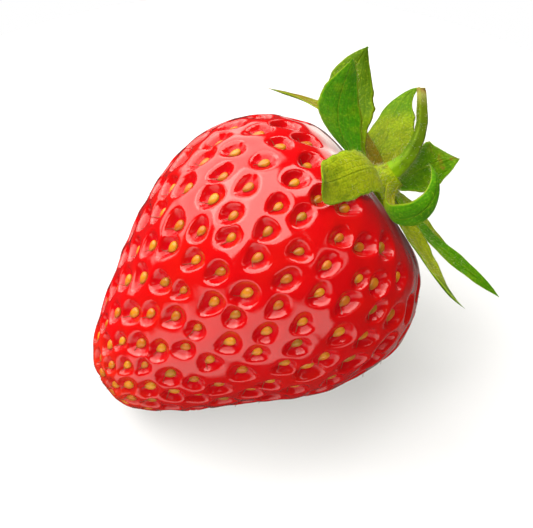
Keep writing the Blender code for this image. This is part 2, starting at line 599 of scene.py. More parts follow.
@dataclass(frozen=True)
class LeafFinish(Finish):
    """A leaf of the calyx: its two faces, its veins, its margin and its foot."""

    name: str = "leaf"
    gloss: dict[str, float] = field(
        default_factory=lambda: {
            "Roughness": 0.5,
            "Specular IOR Level": 0.08,
            "Subsurface Weight": 0.2,
            "Subsurface Scale": 0.0007,
        }
    )
    face: Colour = (0.085, 0.36, 0.001)
    back: Colour = (0.24, 0.33, 0.004)
    foot: Colour = (0.26, 0.34, 0.003)
    margin: Colour = (0.30, 0.42, 0.012)
    tip: Colour = (0.12, 0.28, 0.003)
    brown: float = 0.0
    tip_from: float = 0.80
    light: Colour = (0.30, 0.46, 0.004)
    dark: Colour = (0.03, 0.14, 0.0)
    vein: Colour = (0.32, 0.46, 0.015)
    fleck: Colour = (0.04, 0.13, 0.0)
    glint: Colour = (0.34, 0.48, 0.02)
    dry: Colour = (0.30, 0.13, 0.02)

    def paint(self, graph: Graph, shader: bpy.types.Node) -> None:
        """Adds the nodes for colour and relief.

        Args:
            graph: The material's nodes.
            shader: Its shader.
        """
        along = graph.trait("along")
        across = graph.maths("ABSOLUTE", graph.trait("across"))
        back = graph.trait("stem_side")
        base = graph.mix(back, self.face, self.back)
        cloud = graph.noise(2.6, 3.0)
        lighter = graph.mix(0.4, base, self.light)
        darker = graph.mix(0.45, base, self.dark)
        base = graph.lay(base, lighter, cloud, 0.5, 0.68, 0.9)
        base = graph.lay(base, darker, cloud, 0.48, 0.32, 0.8)
        base = graph.lay(base, self.foot, along, 0.30, 0.0)
        base = graph.lay(base, self.tip, along, self.tip_from, self.tip_from + 0.2, 0.7)

        # A midrib, and fainter veins that run beside it to the tip.
        rib = graph.remap(across, 0.06, 0.015)
        wander = graph.maths("MULTIPLY_ADD", cloud, 0.10, across)
        waves = graph.maths("COSINE", graph.maths("MULTIPLY", wander, 24.0))
        side_veins = graph.remap(waves, 0.70, 1.0)
        fine = graph.noise(0.34, 3.0)
        veins = graph.maths("MAXIMUM", rib, graph.maths("MULTIPLY", side_veins, 0.35))
        pale = graph.mix(0.6, base, self.vein)
        base = graph.mix(graph.maths("MULTIPLY", veins, 0.55), base, pale)
        base = graph.lay(base, graph.mix(0.62, base, self.fleck), fine, 0.40, 0.62, 0.6)
        base = graph.lay(base, self.glint, fine, 0.42, 0.30, 0.4)
        base = graph.lay(base, self.margin, across, 0.86, 0.99, 0.8)
        if self.brown:
            spots = graph.remap(graph.noise(1.3, 3.0), 0.56, 0.66)
            near_tip = graph.remap(along, 0.45, 0.85, 0.0, self.brown)
            base = graph.mix(graph.maths("MULTIPLY", spots, near_tip), base, self.dry)
        graph.feed(shader.inputs["Base Color"], base)
        shader.inputs["Subsurface Radius"].default_value = (0.5, 1.0, 0.15)
        raised = graph.bump(veins, 0.09)
        grain = graph.bump(fine, 0.09, raised)
        graph.feed(shader.inputs["Normal"], graph.bump(cloud, 0.35, grain))


@dataclass(frozen=True)
class StalkFinish(Finish):
    """The stem: bright green at its foot, olive above, brown where it was cut."""

    name: str = "stalk_green"
    gloss: dict[str, float] = field(
        default_factory=lambda: {
            "Roughness": 0.45,
            "Specular IOR Level": 0.12,
            "Subsurface Weight": 0.2,
            "Subsurface Scale": 0.001,
        }
    )
    # (share of the way from the foot to the cut, colour)
    stops: tuple[tuple[float, Colour], ...] = (
        (0.0, (0.27, 0.41, 0.001)),
        (0.34, (0.24, 0.45, 0.001)),
        (0.60, (0.10, 0.19, 0.001)),
        (0.90, (0.13, 0.20, 0.002)),
        (0.975, (0.42, 0.42, 0.10)),
        (1.0, (0.28, 0.17, 0.04)),
    )
    ridge: Colour = (0.26, 0.40, 0.004)
    shade: Colour = (0.08, 0.16, 0.001)

    def paint(self, graph: Graph, shader: bpy.types.Node) -> None:
        """Adds the nodes for colour and relief.

        Args:
            graph: The material's nodes.
            shader: Its shader.
        """
        base = graph.ramp(graph.trait("along"), *self.stops)
        base = graph.lay(base, self.ridge, graph.trait("ridge"), 0.3, 1.0, 0.35)
        cloud = graph.noise(1.4, 3.0)
        base = graph.lay(base, self.shade, cloud, 0.5, 0.72, 0.6)
        graph.feed(shader.inputs["Base Color"], base)
        shader.inputs["Subsurface Radius"].default_value = (0.6, 1.0, 0.15)
        fine = graph.bump(graph.noise(0.3, 3.0), 0.05)
        graph.feed(shader.inputs["Normal"], graph.bump(cloud, 0.12, fine))


@dataclass(frozen=True)
class HubFinish(Finish):
    """The fleshy collar that the leaves and the stem grow from."""

    name: str = "calyx_collar"
    gloss: dict[str, float] = field(
        default_factory=lambda: {
            "Roughness": 0.55,
            "Specular IOR Level": 0.1,
            "Subsurface Weight": 0.25,
            "Subsurface Scale": 0.001,
        }
    )
    rim: Colour = (0.28, 0.33, 0.006)
    slope: Colour = (0.42, 0.50, 0.008)
    neck: Colour = (0.38, 0.52, 0.002)
    olive: Colour = (0.20, 0.24, 0.006)
    brown: Colour = (0.22, 0.13, 0.010)
    speck: Colour = (0.14, 0.22, 0.002)

    def paint(self, graph: Graph, shader: bpy.types.Node) -> None:
        """Adds the nodes for colour and relief.

        Args:
            graph: The material's nodes.
            shader: Its shader.
        """
        stops = (0.0, self.rim), (0.5, self.slope), (1.0, self.neck)
        base = graph.ramp(graph.trait("rise"), *stops)
        cloud, specks = graph.noise(0.9, 3.0), graph.noise(0.30, 3.0)
        base = graph.lay(base, self.olive, cloud, 0.50, 0.72, 0.6)
        base = graph.lay(base, self.brown, graph.noise(1.9), 0.56, 0.66, 0.7)
        base = graph.lay(base, self.speck, specks, 0.44, 0.60, 0.55)
        graph.feed(shader.inputs["Base Color"], base)
        shader.inputs["Subsurface Radius"].default_value = (0.6, 1.0, 0.15)
        fine = graph.bump(specks, 0.14)
        graph.feed(shader.inputs["Normal"], graph.bump(cloud, 0.15, fine))


@dataclass(frozen=True)
class HairFinish(Finish):
    """The fine pale hairs of the calyx and the stem."""

    name: str = "calyx_hair"
    gloss: dict[str, float] = field(
        default_factory=lambda: {
            "Roughness": 0.4,
            "Subsurface Weight": 0.3,
            "Subsurface Scale": 0.0003,
        }
    )
    foot: Colour = (0.42, 0.50, 0.10)
    end: Colour = (0.78, 0.80, 0.52)
    buff: Colour = (0.5, 0.5, 0.2)

    def paint(self, graph: Graph, shader: bpy.types.Node) -> None:
        """Adds the nodes for colour and relief.

        Args:
            graph: The material's nodes.
            shader: Its shader.
        """
        base = graph.ramp(graph.trait("along"), (0.0, self.foot), (1.0, self.end))
        base = graph.lay(base, self.buff, graph.noise(2.0), 0.45, 0.7, 0.5)
        graph.feed(shader.inputs["Base Color"], base)


@dataclass(frozen=True)
class FloorFinish(Finish):
    """A plain pale sheet that glows a little."""

    name: str = "white_sweep"
    gloss: dict[str, float] = field(
        default_factory=lambda: {"Roughness": 0.75, "Emission Strength": 0.02}
    )
    dark: Colour = (0.66, 0.69, 0.74)
    light: Colour = (0.68, 0.71, 0.76)

    def paint(self, graph: Graph, shader: bpy.types.Node) -> None:
        """Adds the nodes for colour and relief.

        Args:
            graph: The material's nodes.
            shader: Its shader.
        """
        tone = graph.ramp(graph.noise(180.0), (0.3, self.dark), (0.7, self.light))
        graph.feed(shader.inputs["Base Color"], tone)
        shader.inputs["Emission Color"].default_value = (1.0, 1.0, 1.0, 1.0)


# ---------------------------------------------------------------------------- fruit


@dataclass(frozen=True)
class FruitForm:
    """The smooth form of the fruit: a profile turned about a leaning axis."""

    lean_deg: float = 28.0
    length: float = 42.7
    radius: float = 18.55
    samples: int = 60
    turns: int = 48
    # (share of the length from the tip, share of the radius)
    profile: tuple[tuple[float, float], ...] = (
        (0.000, 0.00),
        (0.006, 0.14),
        (0.030, 0.25),
        (0.100, 0.395),
        (0.195, 0.545),
        (0.290, 0.672),
        (0.385, 0.793),
        (0.480, 0.900),
        (0.580, 0.975),
        (0.675, 1.000),
        (0.770, 0.985),
        (0.865, 0.890),
        (0.930, 0.750),
        (0.968, 0.640),
        (0.990, 0.47),
        (1.000, 0.20),
        (1.000, 0.00),
    )
    # Its middle line bows to one side at both ends: which way, how far, and from where.
    bow_deg: float = -100.0
    tip_bow: float = 1.0
    tip_bow_until: float = 0.38
    tip_bow_power: float = 1.5
    shoulder_bow: float = 1.0
    shoulder_bow_from: float = 0.65

    def bow_at(self, share: Array) -> Array:
        """How far the middle line is off the axis.

        Args:
            share: Shares of the length, from the tip.

        Returns:
            The distance at each share.
        """
        tip = np.maximum(1 - share / self.tip_bow_until, 0.0) ** self.tip_bow_power
        rest = 1 - self.shoulder_bow_from
        shoulder = np.maximum((share - self.shoulder_bow_from) / rest, 0.0)
        return self.tip_bow * tip + self.shoulder_bow * shoulder


class Skin:
    """The smooth skin, read by how far along its profile a point is and where around."""

    def __init__(self, form: FruitForm) -> None:
        """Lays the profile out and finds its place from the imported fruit.

        Args:
            form: The fruit's form.
        """
        lean = math.radians(form.lean_deg)
        self.out = np.array([math.cos(lean), 0.0, math.sin(lean)])
        self.side = np.array([0.0, 1.0, 0.0])
        self.crown = np.array([-math.sin(lean), 0.0, math.cos(lean)])
        low, high = (np.array(corner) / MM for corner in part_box("fruit"))
        stations = np.array(form.profile) * [form.length, form.radius]
        mirror = np.array([1.0, -1.0])
        padded = np.vstack([stations[1] * mirror, stations, stations[-2] * mirror])
        curve = smooth_through(padded, form.samples)[form.samples : -form.samples]
        steps = np.linalg.norm(np.diff(curve, axis=0), axis=1)
        self.arcs = np.concatenate([[0.0], np.cumsum(steps)])
        self.arc_length = float(self.arcs[-1])
        self.along, self.radii = curve[:, 0], np.maximum(curve[:, 1], 0.0)
        self.along_slope = np.gradient(self.along, self.arcs)
        self.radius_slope = np.gradient(self.radii, self.arcs)
        bowed = form.bow_at(self.along / form.length)
        self.bow = bowed[:, None] * self.outward(np.radians([form.bow_deg]))
        self.tip = np.zeros(3)
        turns = np.linspace(0.0, 2 * math.pi, form.turns, endpoint=False)
        ring = self.point(np.tile(self.arcs, form.turns), np.repeat(turns, len(self.arcs)))
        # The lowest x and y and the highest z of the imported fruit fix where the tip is.
        self.tip = np.array([low[0], low[1], high[2]])
        self.tip -= [ring[:, 0].min(), ring[:, 1].min(), ring[:, 2].max()]
        self.hub = self.tip + self.out * form.length

    def outward(self, around: Array) -> Array:
        """The direction away from the axis at each angle, from the crown to the far side."""
        return np.cos(around)[:, None] * self.crown + np.sin(around)[:, None] * self.side

    def point(self, arc: Array, around: Array) -> Array:
        """The points of the skin.

        Args:
            arc: The distances along the profile, from the tip.
            around: The angles around the axis.

        Returns:
            One point for each pair.
        """
        along = np.interp(arc, self.arcs, self.along)
        radius = np.interp(arc, self.arcs, self.radii)
        bow = np.stack([np.interp(arc, self.arcs, part) for part in self.bow.T], axis=1)
        return self.tip + along[:, None] * self.out + radius[:, None] * self.outward(around) + bow

    def frames(self, arc: Array, around: Array) -> tuple[Array, Array, Array]:
        """The skin's directions at each point.

        Args:
            arc: The distances along the profile, from the tip.
            around: The angles around the axis.

        Returns:
            The normals, the directions up the meridian, and the directions around.
        """
        rise = np.interp(arc, self.arcs, self.along_slope)[:, None]
        spread = np.interp(arc, self.arcs, self.radius_slope)[:, None]
        outward = self.outward(around)
        normal = unit(outward * rise - self.out * spread)
        meridian = unit(self.out * rise + outward * spread)
        ring = np.cos(around)[:, None] * self.side - np.sin(around)[:, None] * self.crown
        return normal, meridian, ring

    def radius_at(self, arc: Array) -> Array:
        """The skin's distance from the axis."""
        return np.interp(arc, self.arcs, self.radii)


@dataclass(frozen=True)
class AcheneLayout:
    """How the achenes are set on the skin: one spiral by the golden angle."""

    seed: int = 11
    turn_deg: float = 20.0
    start: float = 1.2
    bare_neck: float = 12.0
    # Their spacing at distances from the tip.
    spacing_at: tuple[float, ...] = (0.0, 6.0, 18.0, 46.0)
    spacing: tuple[float, ...] = (2.5, 2.9, 4.25, 4.6)
    jitter: float = 0.07
    # How much their sizes, their turns in the pit and the pits' depths vary.
    size_spread: float = 0.07
    skew_spread: float = 0.14
    hollow_spread: float = 0.17
    floor_clearance: float = 0.25


class Achenes:
    """Where each achene sits, with its size and its directions."""

    def __init__(self, skin: Skin, layout: AcheneLayout) -> None:
        """Sets the achenes out.

        Args:
            skin: The skin they sit in.
            layout: Their spacing.
        """
        arc = np.linspace(layout.start, skin.arc_length - layout.bare_neck, 4000)
        gap = np.interp(arc, layout.spacing_at, layout.spacing)
        cell = gap**2 * math.sqrt(3) / 2
        ring = 2 * math.pi * skin.radius_at(arc) / cell
        count = np.concatenate([[0.0], np.cumsum((ring[1:] + ring[:-1]) / 2 * np.diff(arc))])
        total = int(count[-1])
        draw = np.random.default_rng(layout.seed)
        self.arc = np.interp(np.arange(total) + 0.5, count, arc)
        self.gap = np.interp(self.arc, layout.spacing_at, layout.spacing)
        self.around = np.arange(total) * GOLDEN_ANGLE + math.radians(layout.turn_deg)
        wobble = draw.normal(size=(total, 2)) * layout.jitter * self.gap[:, None]
        self.arc = self.arc + wobble[:, 0]
        self.around = self.around + wobble[:, 1] / np.maximum(skin.radius_at(self.arc), 1.0)
        self.size = draw.normal(1.0, layout.size_spread, total).clip(0.82, 1.18)
        self.tone = draw.uniform(0.0, 1.0, total)
        self.skew = draw.normal(0.0, layout.skew_spread, total)
        self.hollow = draw.normal(1.0, layout.hollow_spread, total).clip(0.6, 1.3)
        self.centre = skin.point(self.arc, self.around)
        self.normal, self.meridian, self.ring = skin.frames(self.arc, self.around)
        # Each one is turned a little in its pit.
        cos, sin = np.cos(self.skew)[:, None], np.sin(self.skew)[:, None]
        self.meridian, self.ring = (
            self.meridian * cos + self.ring * sin,
            self.ring * cos - self.meridian * sin,
        )
        self.clear = self.centre[:, 2] > layout.floor_clearance

    def __len__(self) -> int:
        """How many there are."""
        return len(self.arc)


@dataclass(frozen=True)
class Pits:
    """The hollows that the achenes sit in."""

    depth: float = 1.15
    # Half the length and half the width as shares of the spacing, at the tip and beyond.
    long_share: tuple[float, float] = (0.50, 0.42)
    wide_share: tuple[float, float] = (0.43, 0.32)
    bowl: float = 2.4
    rim: float = 0.07
    swell: float = 0.05
    size_power: float = 0.60
    # How far the outline of each is from a plain oval.
    taper: float = 0.22
    two_lobes: float = 0.07
    three_lobes: float = 0.05
    phase_rate: float = 40.0

    def depth_at(self, achenes: Achenes) -> Array:
        """How deep each pit is: shallower where the achenes crowd at the tip."""
        crowding = (achenes.gap / achenes.gap.max()) ** self.size_power
        return self.depth * crowding * achenes.size * achenes.hollow

    def carve(self, points: Array, achenes: Achenes) -> tuple[Array, Array]:
        """Finds how far the skin is pressed in.

        Args:
            points: The points of the smooth skin.
            achenes: What sits in the pits.

        Returns:
            The height of the skin off its smooth form, and how far into a pit it is.
        """
        pressed = np.zeros(len(points))
        inside = np.zeros(len(points))
        nearest = np.full(len(points), 9.0)
        depths = self.depth_at(achenes)
        crowd = (achenes.gap.max() - achenes.gap) / (achenes.gap.max() - achenes.gap.min())
        room = achenes.gap * achenes.size
        length = (self.long_share[1] + np.ptp(self.long_share) * crowd) * room
        width = (self.wide_share[1] + np.ptp(self.wide_share) * crowd) * room
        for k in range(len(achenes)):
            away = points - achenes.centre[k]
            close = np.nonzero((away**2).sum(axis=1) < achenes.gap[k] ** 2)[0]
            away = away[close]
            u = away @ achenes.meridian[k] / length[k]
            v = away @ achenes.ring[k] / width[k]
            # The pit narrows to a point towards the tip of the fruit.
            v = v / (1.0 + self.taper * np.clip(u, -1.2, 1.2))
            turn, phase = np.arctan2(v, u), self.phase_rate * achenes.skew[k]
            outline = 1.0 + self.two_lobes * np.sin(2 * turn + phase)
            outline += self.three_lobes * np.sin(3 * turn + 2.3 * phase)
            reach = np.sqrt(u**2 + v**2) / outline
            bowl = 1.0 - reach**self.bowl
            share = np.clip((bowl + np.sqrt(bowl**2 + self.rim**2)) / 2 - self.rim / 12, 0.0, 1.0)
            pressed[close] = np.maximum(pressed[close], share * depths[k])
            inside[close] = np.maximum(inside[close], share)
            nearest[close] = np.minimum(nearest[close], reach)
        swell = self.swell * smoothstep(1.0, 1.5, nearest)
        return swell - pressed, inside


def inside_out(points: Array, quads: Array) -> bool:
    """Whether the faces of a ball turn inwards."""
    a, b, c = (points[quads[:, corner]] for corner in range(3))
    return bool((np.cross(a, b) * c).sum() < 0)


@dataclass(frozen=True)
class Flesh:
    """The flesh: an evenly gridded ball drawn onto the fruit's form, with its pits."""

    form: FruitForm = FruitForm()
    pits: Pits = Pits()
    grid: int = 124
    lumps: float = 0.10
    lump_size: float = 13.0
    ripples: float = 0.06
    ripple_size: float = 4.0
    floor_blend: float = 0.12
    # The angle round the axis that faces the light; the painted shade by the calyx is darkest on
    # the side opposite it.
    lit_side_deg: float = 60.0

    def ball(self) -> tuple[Array, Array]:
        """An even ball of square faces.

        Returns:
            Its directions from the centre, and its quads.
        """
        n = self.grid
        ticks = np.tan(np.linspace(-1.0, 1.0, n + 1) * math.pi / 4)
        a, b = (g.ravel() for g in np.meshgrid(ticks, ticks, indexing="ij"))
        one = np.ones_like(a)
        sides = (one, a, b), (-one, b, a), (b, one, a), (a, -one, b), (a, b, one), (b, a, -one)
        points = unit(np.vstack([np.stack(s, axis=1) for s in sides]))
        i, j = (g.ravel() for g in np.meshgrid(np.arange(n), np.arange(n), indexing="ij"))
        corner = i * (n + 1) + j
        quad = np.stack([corner, corner + n + 1, corner + n + 2, corner + 1], axis=1)
        quads = np.vstack([quad + s * (n + 1) ** 2 for s in range(6)])
        keys = np.round(points * 1e6).astype(np.int64)
        _, first, index = np.unique(keys, axis=0, return_index=True, return_inverse=True)
        return points[first], index.reshape(-1)[quads]

    def build(self, skin: Skin, achenes: Achenes) -> Shell:
        """Makes the flesh.

        Args:
            skin: Its smooth form.
            achenes: What its pits hold.

        Returns:
            The mesh, with how far along, how deep in a pit and how far from the lit side each
            point is.
        """
        directions, quads = self.ball()
        arc = np.arccos(np.clip(-directions[:, 2], -1, 1)) / math.pi * skin.arc_length
        around = np.arctan2(directions[:, 1], directions[:, 0])
        smooth = skin.point(arc, around)
        normal = skin.frames(arc, around)[0]
        height, inside = self.pits.carve(smooth, achenes)
        height += self.lumps * Waves(3, self.lump_size).at(smooth)
        height += self.ripples * Waves(4, self.ripple_size).at(smooth) * (1 - inside)
        points = smooth + normal * height[:, None]
        # Where it rests it is pressed flat, with a soft edge.
        k = self.floor_blend
        z = points[:, 2]
        points[:, 2] = (z + np.sqrt(z**2 + k**2)) / 2
        points[:, 2] -= points[:, 2].min()
        if inside_out(points, quads):
            quads = quads[:, ::-1]
        # How far each point is turned from the lit side: it sets where the painted shade by the
        # calyx falls.
        lower = 0.5 - 0.5 * np.cos(around - math.radians(self.lit_side_deg))
        traits = {
            "station": arc / skin.arc_length,
            "pit": inside,
            "lower": smoothstep(0.25, 0.75, lower),
        }
        return Shell(points, [quads], traits)


@dataclass(frozen=True)
class AcheneForm:
    """One achene: a flattened drop, pointed towards the tip of the fruit."""

    length: float = 1.62
    width: float = 1.06
    thickness: float = 0.62
    rows: int = 12
    around: int = 12
    sunk: float = 0.04
    tip_scale: float = 0.80
    blunt: float = 0.20
    blunt_power: float = 1.3

    def build(self, achenes: Achenes, pits: Pits) -> Shell:
        """Makes every achene.

        Args:
            achenes: Where they sit.
            pits: The pits that hold them.

        Returns:
            One mesh, with each one's tone and how near its pointed end a point is.
        """
        turn = np.linspace(0.0, math.pi, self.rows + 1)[1:-1]
        x = np.cos(turn)[:, None]
        girth = np.sin(turn)[:, None] * (1.0 + self.blunt * x) ** self.blunt_power
        angles = np.linspace(0.0, 2 * math.pi, self.around, endpoint=False)
        y, z = girth * np.cos(angles), girth * np.sin(angles)
        x = np.broadcast_to(x, y.shape)
        drop = np.stack([x.ravel(), y.ravel(), z.ravel()], axis=1)
        depths = pits.depth_at(achenes)
        room = achenes.gap / achenes.gap.max()
        faces = loft_faces(self.rows - 1, self.around)
        shells = []
        for k in np.nonzero(achenes.clear)[0]:
            scale = achenes.size[k] * (self.tip_scale + (1 - self.tip_scale) * room[k])
            half = np.array([self.length, self.width, self.thickness]) / 2 * scale
            local = drop * half
            axes = np.stack([achenes.meridian[k], achenes.ring[k], achenes.normal[k]])
            rise = half[2] - self.sunk - depths[k]
            seat = achenes.centre[k] + achenes.normal[k] * rise
            tone = np.full(len(drop), achenes.tone[k])
            traits = {"tone": tone, "point": (1.0 - drop[:, 0]) / 2}
            shells.append(Shell(seat + local @ axes, faces, traits))
        return join(shells)


@dataclass(frozen=True)
class Styles:
    """The dried threads that stand at the achenes' pointed ends."""

    seed: int = 23
    share: float = 0.75
    length: float = 1.35
    radius: float = 0.058
    steps: int = 7
    around: int = 5
    # Where they stand: from the achene's middle, and above the floor of its pit.
    forward: float = 0.68
    above: float = 0.22
    floor_clearance: float = 1.2

    def build(self, achenes: Achenes, pits: Pits) -> Shell:
        """Makes the threads of some of the achenes.

        Args:
            achenes: What they grow from.
            pits: The pits that hold them.

        Returns:
            One mesh, with how far along its thread each point is.
        """
        draw = np.random.default_rng(self.seed)
        depths = pits.depth_at(achenes)
        t = np.linspace(0.0, 1.0, self.steps)[:, None]
        shells = []
        for k in range(len(achenes)):
            kept, lean, bend, turn, longer = draw.uniform(size=5)
            if kept > self.share or achenes.centre[k][2] < self.floor_clearance:
                continue
            length = self.length * (0.5 + 0.7 * longer) * achenes.gap[k] / achenes.gap.max()
            normal, meridian, ring = achenes.normal[k], achenes.meridian[k], achenes.ring[k]
            start = achenes.centre[k] - meridian * self.forward * achenes.size[k]
            start = start - normal * (depths[k] - self.above)
            heading = normal * (0.45 + 0.5 * lean) - meridian * (0.75 - 0.4 * lean)
            heading = heading + ring * (turn - 0.5) * 1.1
            curl = normal * (bend - 0.6) + ring * (bend - 0.5) * 1.2
            path = start + unit(heading) * length * t + curl * length * 0.55 * t**2
            radii = self.radius * (1.0 - 0.6 * t[:, 0])
            radii[-1] *= 1.5
            shells.append(tube(path, radii, self.around, {"along": t[:, 0]}))
        return join(shells)


# --------------------------------------------------------------------------- calyx


@dataclass(frozen=True)
class Leaf:
    """One leaf of the calyx. Angles are in degrees.

    around: where it starts, from the crown towards the far side
    lift, bend, hook: its rise off the shoulder, how that changes, and the tip's curl
    sway: how it veers sideways along its length
    twist, roll: how much its blade turns from base to tip, and its turn at the base
    cup: the curve across the blade
    height: of its base above the end of the fruit
    base, widest, point: the width at the base, where it is widest, how full the tip is
    wave: how far its margins wave
    """

    name: str
    stands_for: str
    around: float
    length: float
    width: float
    lift: float
    bend: float
    hook: float
    sway: float
    twist: float
    roll: float
    cup: float
    height: float
    base: float
    widest: float
    point: float
    finish: LeafFinish
    wave: float = 0.10
    ring: float = 3.2
    rows: int = 64
    columns: int = 18
    root_rows: int = 10
    root_ring: float = 1.5
    root_height: float = 3.1
    root_width: float = 0.8
    root_sag: float = 0.45
    ragged: float = 1.0
    thickness: float = 0.34
    edge: float = 0.03
    crease: float = 0.10
    crease_share: float = 0.10
    tip_share: float = 0.03

    def width_share(self, s: float) -> float:
        """The blade's width, as a share of its greatest width.

        Args:
            s: The share of its length.

        Returns:
            The share of the width there.
        """
        rise = self.base + (1 - self.base) * math.sin(min(s / self.widest, 1.0) * math.pi / 2)
        fall = 1 - max((s - self.widest) / (1 - self.widest), 0.0) ** self.point
        return max(rise * fall, self.tip_share)

    def section(self, v: Array) -> tuple[Array, Array]:
        """How far out and how far up the cupped blade is, for a half-width of 1.

        Args:
            v: The shares across the blade, from -1 to 1.

        Returns:
            The distances along its sideways direction and along its normal.
        """
        cup = math.radians(self.cup)
        return np.sin(cup * v) / cup, (1 - np.cos(cup * v)) / cup

    def spine(self, skin: Skin) -> list[tuple[float, Array, Array, Array, Array, float]]:
        """The blade's rows, from the hub to the tip.

        Args:
            skin: The fruit it grows from.

        Returns:
            For each row its share of the length, its centre, its normal, its
            sideways direction, its heading and its half-width.
        """
        around = math.radians(self.around)
        outward = skin.crown * math.cos(around) + skin.side * math.sin(around)
        along_ring = skin.side * math.cos(around) - skin.crown * math.sin(around)
        centre = skin.hub + outward * self.ring + skin.out * self.height
        rows = []
        before = None
        for i in range(self.rows + 1):
            s = i / self.rows
            curl = max(2 * s - 1, 0.0) ** 2
            pitch = math.radians(self.lift + self.bend * s + self.hook * curl)
            yaw = math.radians(self.sway * s)
            head = outward * math.cos(yaw) + along_ring * math.sin(yaw)
            tangent = head * math.cos(pitch) + skin.out * math.sin(pitch)
            normal = skin.out * math.cos(pitch) - head * math.sin(pitch)
            sideways = np.cross(normal, tangent)
            if before is not None:
                centre = centre + (tangent + before) * (self.length / self.rows / 2)
            before = tangent
            roll = math.radians(self.roll + self.twist * s)
            turned = normal * math.cos(roll) + sideways * math.sin(roll)
            across = sideways * math.cos(roll) - normal * math.sin(roll)
            half = self.width / 2 * self.width_share(s)
            rows.append((s, centre, turned, across, tangent, half))
        # The foot narrows as it climbs the hub's side to the stem.
        _, foot, normal, across, tangent, half = rows[0]
        level = np.cross(skin.out, outward)
        inner = skin.hub + outward * self.root_ring + skin.out * self.root_height
        down = unit(foot - inner)
        steep = unit(skin.out - down * (skin.out @ down))
        roots = []
        for i in range(self.root_rows):
            t = i / self.root_rows
            ease = t * t * (3 - 2 * t)
            place = inner * (1 - t) + foot * t - steep * self.root_sag * math.sin(math.pi * t)
            sideways = unit(level * (1 - ease) + across * ease)
            upright = unit(steep * (1 - ease) + normal * ease)
            upright = unit(upright - sideways * (upright @ sideways))
            width = self.root_width * (1 - ease) + half * ease
            roots.append((0.0, place, upright, sideways, down, width))
        return roots + rows

    def build(self, skin: Skin) -> Shell:
        """Makes the blade.

        Args:
            skin: The fruit it grows from.

        Returns:
            The mesh, with its shares along and across, and which face each point is on.
        """
        v = np.linspace(-1.0, 1.0, self.columns + 1)
        ring_v = np.concatenate([v, v[-2:0:-1]])
        stem_side = np.concatenate([np.ones(self.columns + 1), np.zeros(self.columns - 1)])
        stem_side[[0, self.columns]] = 0.5
        facing = stem_side * 2 - 1
        thick = self.thickness / 2 * (1 - np.abs(ring_v) ** 3) + self.edge
        thick[[0, self.columns]] = 0.0
        out, up = self.section(ring_v)
        draw = np.random.default_rng(hash_name(self.name))
        phases = draw.uniform(0, 2 * math.pi, 2)
        rises = draw.uniform(2.2, 4.0, 2)
        spine = self.spine(skin)
        shares = np.array([row[0] for row in spine])
        rough = [uneven_edge(shares, draw) for _ in range(2)]
        points = []
        for k, (s, centre, normal, across, _, half) in enumerate(spine):
            fade = math.sin(math.pi * min(s * 1.05, 1.0)) ** 0.7 if 0 < s < 1 else 0.0
            left = math.sin(2 * math.pi * rises[0] * s + phases[0])
            right = math.sin(2 * math.pi * rises[1] * s + phases[1])
            wave = np.where(ring_v < 0, left, right) * np.abs(ring_v) ** 2.5
            lift = self.wave * fade * wave * min(half / 2.0, 1.0)
            # The two margins are uneven, each in its own way.
            uneven = np.where(ring_v < 0, rough[0][k], rough[1][k])
            reach = half * (1.0 + self.ragged * fade * uneven)
            # A crease along the midrib, raised on the stem side.
            crease = self.crease * np.exp(-((ring_v / self.crease_share) ** 2)) * min(half, 1.0)
            slim = min(1.0, half / 0.7)
            rise = reach * up + lift + crease + facing * thick * slim
            points.append(centre + across * (reach * out)[:, None] + normal * rise[:, None])
        traits = {
            "along": np.repeat(shares, len(ring_v)),
            "across": np.tile(ring_v, len(spine)),
            "stem_side": np.tile(stem_side, len(spine)),
        }
        return Shell(np.vstack(points), loft_faces(len(spine), len(ring_v)), traits)


def uneven_edge(shares: Array, draw: np.random.Generator) -> Array:
    """The unevenness of one margin of a leaf.

    Args:
        shares: Where along the leaf it is wanted.
        draw: What to draw the waves from.

    Returns:
        How much wider or narrower the leaf is there, as a share.
    """
    total = np.zeros(len(shares))
    for waves, height in ((2.5, 0.035), (6.0, 0.022), (13.0, 0.008), (27.0, 0.004)):
        rate = waves * draw.uniform(0.8, 1.25) * 2 * math.pi
        total += height * np.sin(rate * shares + draw.uniform(0.0, 2 * math.pi))
    return total


def hash_name(name: str) -> int:
    """A number that stays the same for a name.

    Args:
        name: The name.

    Returns:
        A whole number, to draw from.
    """
    total = 7
    for letter in name:
        total = (total * 31 + ord(letter)) % 1_000_003
    return total


VIVID = (0.080, 0.34, 0.001)
OLIVE = (0.24, 0.33, 0.004)
PALE = (0.32, 0.40, 0.015)

